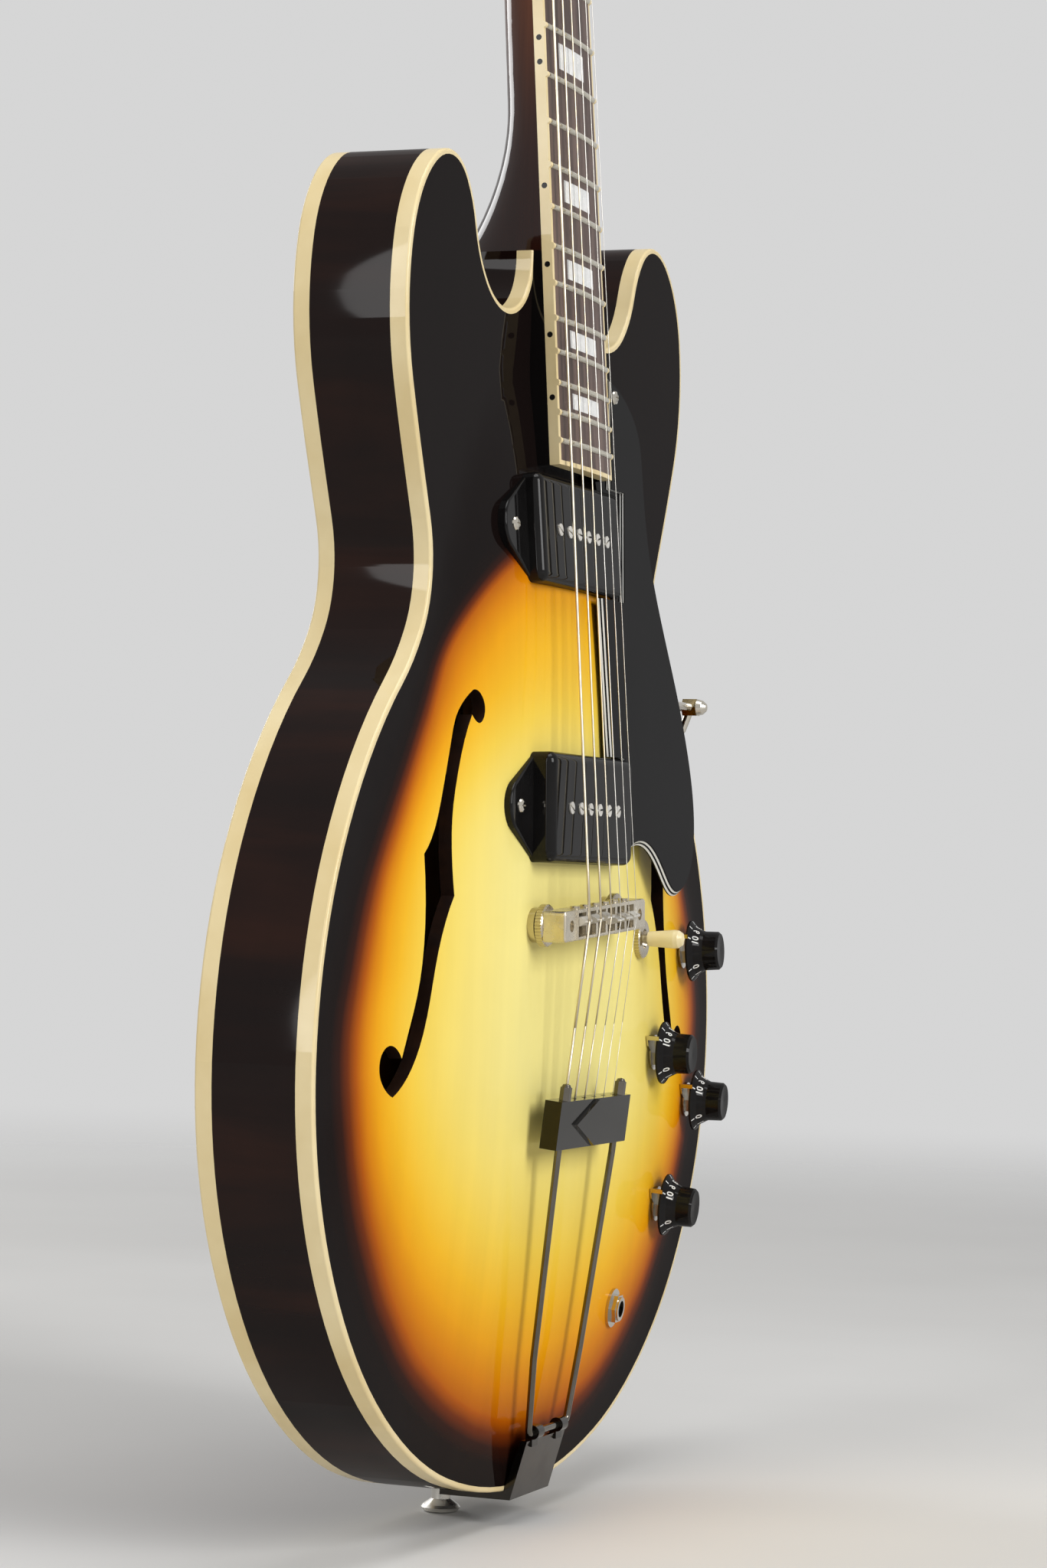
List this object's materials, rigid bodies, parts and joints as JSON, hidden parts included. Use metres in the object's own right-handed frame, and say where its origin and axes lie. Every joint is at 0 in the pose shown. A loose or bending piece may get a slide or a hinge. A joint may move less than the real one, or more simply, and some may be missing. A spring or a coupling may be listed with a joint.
{
  "type": "archtop guitar",
  "caption": "Thin hollow-body double-cutaway archtop electric guitar with f-holes, trapeze tailpiece, adjustable bridge, turning knobs, toggle switch and geared tuners.",
  "frame": {"origin": "tail end of the rim on the centre line, half way through the rim's depth", "axes": "+Z from the tail up to the headstock, -Y out of the front of the top, +X towards the treble strings"},
  "size_m": [0.407, 0.1265, 1.0138],
  "materials": {
    "sunburst_top": "gloss sunburst lacquer over laminated maple",
    "dark_back": "gloss dark brown lacquer over laminated maple",
    "dark_rim": "gloss dark brown lacquer",
    "cream_binding": "gloss, slightly yellowed",
    "inner_wood": "bare",
    "neck_mahogany": "gloss lacquer",
    "black_veneer": "gloss black",
    "rosewood": "satin",
    "board_binding": "gloss",
    "fret_nickel": "polished",
    "pearl": "pearloid",
    "bone": "satin",
    "rod_steel": "plain",
    "rod_nut_brass": "plain",
    "cover_plastic": "gloss",
    "string_steel": "wound and plain",
    "tuner_nickel": "polished",
    "black_cover": "gloss",
    "coil_wire": "taped",
    "pole_nickel": "polished",
    "guard_plastic": "gloss with pale bevelled plies",
    "bracket_nickel": "polished",
    "stud_nickel": "polished",
    "bridge_nickel": "worn",
    "saddle_screw_steel": "plain",
    "tailpiece_nickel": "worn",
    "tailpiece_rod_nickel": "worn",
    "tail_bracket_nickel": "worn",
    "pot_steel": "plain",
    "pointer_nickel": "polished",
    "switch_nickel": "knurled",
    "cream_tip": "gloss",
    "jack_nickel": "polished",
    "strap_button_nickel": "polished",
    "screw_nickel": "polished",
    "wheel_nickel": "knurled",
    "knob_black": "gloss with pale figures",
    "saddle_nickel": "polished",
    "post_nickel": "polished",
    "button_nickel": "polished"
  },
  "bodies": {
    "guitar": {"top_plate": "sunburst_top", "back_plate": "dark_back", "rim_sides": "dark_rim", "body_bindings": "cream_binding", "linings_and_tone_bars": "inner_wood", "body_blocks": "inner_wood", "neck": "neck_mahogany", "headstock_veneer": "black_veneer", "fingerboard": "rosewood", "fingerboard_binding": "board_binding", "frets": "fret_nickel", "position_markers": "pearl", "nut": "bone", "truss_rod": "rod_steel", "truss_rod_cover": "cover_plastic", "strings": "string_steel", "tuner_housings": "tuner_nickel", "pickup_covers": "black_cover", "pickup_coils": "coil_wire", "pole_screws": "pole_nickel", "pickguard": "guard_plastic", "guard_bracket": "bracket_nickel", "bridge_studs": "stud_nickel", "tailpiece_bracket": "tail_bracket_nickel", "potentiometers": "pot_steel", "dial_pointers": "pointer_nickel", "selector_switch": "switch_nickel", "output_jack": "jack_nickel", "strap_buttons": "strap_button_nickel", "fastening_screws": "screw_nickel"},
    "neck_volume_knob": {"neck_volume_knob": "knob_black"},
    "bridge_volume_knob": {"bridge_volume_knob": "knob_black"},
    "neck_tone_knob": {"neck_tone_knob": "knob_black"},
    "bridge_tone_knob": {"bridge_tone_knob": "knob_black"},
    "switch_lever": {"switch_lever": "cream_tip"},
    "bridge": {"bridge_body": "bridge_nickel", "saddle_screws": "saddle_screw_steel"},
    "bass_thumbwheel": {"bass_thumbwheel": "wheel_nickel"},
    "treble_thumbwheel": {"treble_thumbwheel": "wheel_nickel"},
    "trapeze": {"tailpiece_bar": "tailpiece_nickel", "tailpiece_rods": "tailpiece_rod_nickel"},
    "truss_rod_nut": {"truss_rod_nut": "rod_nut_brass"},
    "saddle_6": {"saddle_6": "saddle_nickel"},
    "saddle_5": {"saddle_5": "saddle_nickel"},
    "saddle_4": {"saddle_4": "saddle_nickel"},
    "saddle_3": {"saddle_3": "saddle_nickel"},
    "saddle_2": {"saddle_2": "saddle_nickel"},
    "saddle_1": {"saddle_1": "saddle_nickel"},
    "tuner_post_6": {"tuner_post_6": "post_nickel"},
    "tuner_button_6": {"tuner_button_6": "button_nickel"},
    "tuner_post_5": {"tuner_post_5": "post_nickel"},
    "tuner_button_5": {"tuner_button_5": "button_nickel"},
    "tuner_post_4": {"tuner_post_4": "post_nickel"},
    "tuner_button_4": {"tuner_button_4": "button_nickel"},
    "tuner_post_3": {"tuner_post_3": "post_nickel"},
    "tuner_button_3": {"tuner_button_3": "button_nickel"},
    "tuner_post_2": {"tuner_post_2": "post_nickel"},
    "tuner_button_2": {"tuner_button_2": "button_nickel"},
    "tuner_post_1": {"tuner_post_1": "post_nickel"},
    "tuner_button_1": {"tuner_button_1": "button_nickel"}
  },
  "joints": [
    {"name": "neck_volume_knob_turn", "type": "hinge", "parent": "guitar", "child": "neck_volume_knob", "pos_m": [0.111, -0.02928, 0.159], "axis": [0.0758, -0.997, -0.0148], "range_deg": [0, 290]},
    {"name": "bridge_volume_knob_turn", "type": "hinge", "parent": "guitar", "child": "bridge_volume_knob", "pos_m": [0.132, -0.025, 0.097], "axis": [0.0815, -0.9945, -0.0651], "range_deg": [0, 290]},
    {"name": "neck_tone_knob_turn", "type": "hinge", "parent": "guitar", "child": "neck_tone_knob", "pos_m": [0.157, -0.02452, 0.199], "axis": [0.1043, -0.9936, 0.0429], "range_deg": [0, 290]},
    {"name": "bridge_tone_knob_turn", "type": "hinge", "parent": "guitar", "child": "bridge_tone_knob", "pos_m": [0.171, -0.02338, 0.1375], "axis": [0.0937, -0.9952, -0.0278], "range_deg": [0, 290]},
    {"name": "switch_throw", "type": "hinge", "parent": "guitar", "child": "switch_lever", "pos_m": [0.0853, -0.02779, 0.20445], "axis": [0.9977, 0.0675, -0.0006], "range_deg": [-15, 15]},
    {"name": "bridge_height", "type": "slide", "parent": "guitar", "child": "bridge", "axis": [0, -1, 0], "range_m": [0, 0.005], "deforming": ["strings"]},
    {"name": "bass_wheel_turn", "type": "hinge", "parent": "bridge", "child": "bass_thumbwheel", "pos_m": [-0.03693, -0.03639, 0.20978], "axis": [0, -1, 0], "range_deg": [0, 2278.48]},
    {"name": "treble_wheel_turn", "type": "hinge", "parent": "bridge", "child": "treble_thumbwheel", "pos_m": [0.03693, -0.03639, 0.21442], "axis": [0, -1, 0], "range_deg": [0, 2278.48]},
    {"name": "saddle_6_slide", "type": "slide", "parent": "bridge", "child": "saddle_6", "axis": [-0.0628, 0, 0.998], "range_m": [-0.00368, 0.00112], "deforming": ["strings"]},
    {"name": "saddle_5_slide", "type": "slide", "parent": "bridge", "child": "saddle_5", "axis": [-0.0628, 0, 0.998], "range_m": [-0.00388, 0.00092], "deforming": ["strings"]},
    {"name": "saddle_4_slide", "type": "slide", "parent": "bridge", "child": "saddle_4", "axis": [-0.0628, 0, 0.998], "range_m": [-0.00405, 0.00075], "deforming": ["strings"]},
    {"name": "saddle_3_slide", "type": "slide", "parent": "bridge", "child": "saddle_3", "axis": [-0.0628, 0, 0.998], "range_m": [-0.0024, 0.0024], "deforming": ["strings"]},
    {"name": "saddle_2_slide", "type": "slide", "parent": "bridge", "child": "saddle_2", "axis": [-0.0628, 0, 0.998], "range_m": [-0.00251, 0.00229], "deforming": ["strings"]},
    {"name": "saddle_1_slide", "type": "slide", "parent": "bridge", "child": "saddle_1", "axis": [-0.0628, 0, 0.998], "range_m": [-0.0026, 0.0022], "deforming": ["strings"]},
    {"name": "trapeze_hinge", "type": "hinge", "parent": "guitar", "child": "trapeze", "pos_m": [0, -0.0304, 0.0225], "axis": [1, 0, 0], "range_deg": [-2, 4], "stiffness_Nm_per_rad": 60, "deforming": ["strings"]},
    {"name": "truss_nut_turn", "type": "hinge", "parent": "guitar", "child": "truss_rod_nut", "pos_m": [0, 0.01205, 0.84919], "axis": [0, 0.0772, 0.997], "range_deg": [-180, 180]},
    {"name": "tuner_button_6_turn", "type": "hinge", "parent": "guitar", "child": "tuner_button_6", "pos_m": [-0.025, 0.03864, 0.88733], "axis": [-1, 0, 0], "continuous": true},
    {"name": "tuner_post_6_turn", "type": "hinge", "parent": "guitar", "child": "tuner_post_6", "pos_m": [-0.025, 0.01964, 0.88608], "axis": [0, -0.943, 0.3327], "continuous": true},
    {"name": "tuner_button_5_turn", "type": "hinge", "parent": "guitar", "child": "tuner_button_5", "pos_m": [-0.0265, 0.05261, 0.92694], "axis": [-1, 0, 0], "continuous": true},
    {"name": "tuner_post_5_turn", "type": "hinge", "parent": "guitar", "child": "tuner_post_5", "pos_m": [-0.0265, 0.03361, 0.92569], "axis": [0, -0.943, 0.3327], "continuous": true},
    {"name": "tuner_button_4_turn", "type": "hinge", "parent": "guitar", "child": "tuner_button_4", "pos_m": [-0.028, 0.06658, 0.96655], "axis": [-1, 0, 0], "continuous": true},
    {"name": "tuner_post_4_turn", "type": "hinge", "parent": "guitar", "child": "tuner_post_4", "pos_m": [-0.028, 0.04758, 0.96529], "axis": [0, -0.943, 0.3327], "continuous": true},
    {"name": "tuner_button_3_turn", "type": "hinge", "parent": "guitar", "child": "tuner_button_3", "pos_m": [0.028, 0.06658, 0.96655], "axis": [1, 0, 0], "continuous": true},
    {"name": "tuner_post_3_turn", "type": "hinge", "parent": "guitar", "child": "tuner_post_3", "pos_m": [0.028, 0.04758, 0.96529], "axis": [0, -0.943, 0.3327], "continuous": true},
    {"name": "tuner_button_2_turn", "type": "hinge", "parent": "guitar", "child": "tuner_button_2", "pos_m": [0.0265, 0.05261, 0.92694], "axis": [1, 0, 0], "continuous": true},
    {"name": "tuner_post_2_turn", "type": "hinge", "parent": "guitar", "child": "tuner_post_2", "pos_m": [0.0265, 0.03361, 0.92569], "axis": [0, -0.943, 0.3327], "continuous": true},
    {"name": "tuner_button_1_turn", "type": "hinge", "parent": "guitar", "child": "tuner_button_1", "pos_m": [0.025, 0.03864, 0.88733], "axis": [1, 0, 0], "continuous": true},
    {"name": "tuner_post_1_turn", "type": "hinge", "parent": "guitar", "child": "tuner_post_1", "pos_m": [0.025, 0.01964, 0.88608], "axis": [0, -0.943, 0.3327], "continuous": true}
  ],
  "couplings": [
    {"joint": "bass_wheel_turn", "follows": "bridge_height", "rad_per_m": 7953.4},
    {"joint": "treble_wheel_turn", "follows": "bridge_height", "rad_per_m": 7953.4},
    {"joint": "tuner_post_6_turn", "follows": "tuner_button_6_turn", "ratio": -0.071429},
    {"joint": "tuner_post_5_turn", "follows": "tuner_button_5_turn", "ratio": -0.071429},
    {"joint": "tuner_post_4_turn", "follows": "tuner_button_4_turn", "ratio": -0.071429},
    {"joint": "tuner_post_3_turn", "follows": "tuner_button_3_turn", "ratio": 0.071429},
    {"joint": "tuner_post_2_turn", "follows": "tuner_button_2_turn", "ratio": 0.071429},
    {"joint": "tuner_post_1_turn", "follows": "tuner_button_1_turn", "ratio": 0.071429}
  ]
}
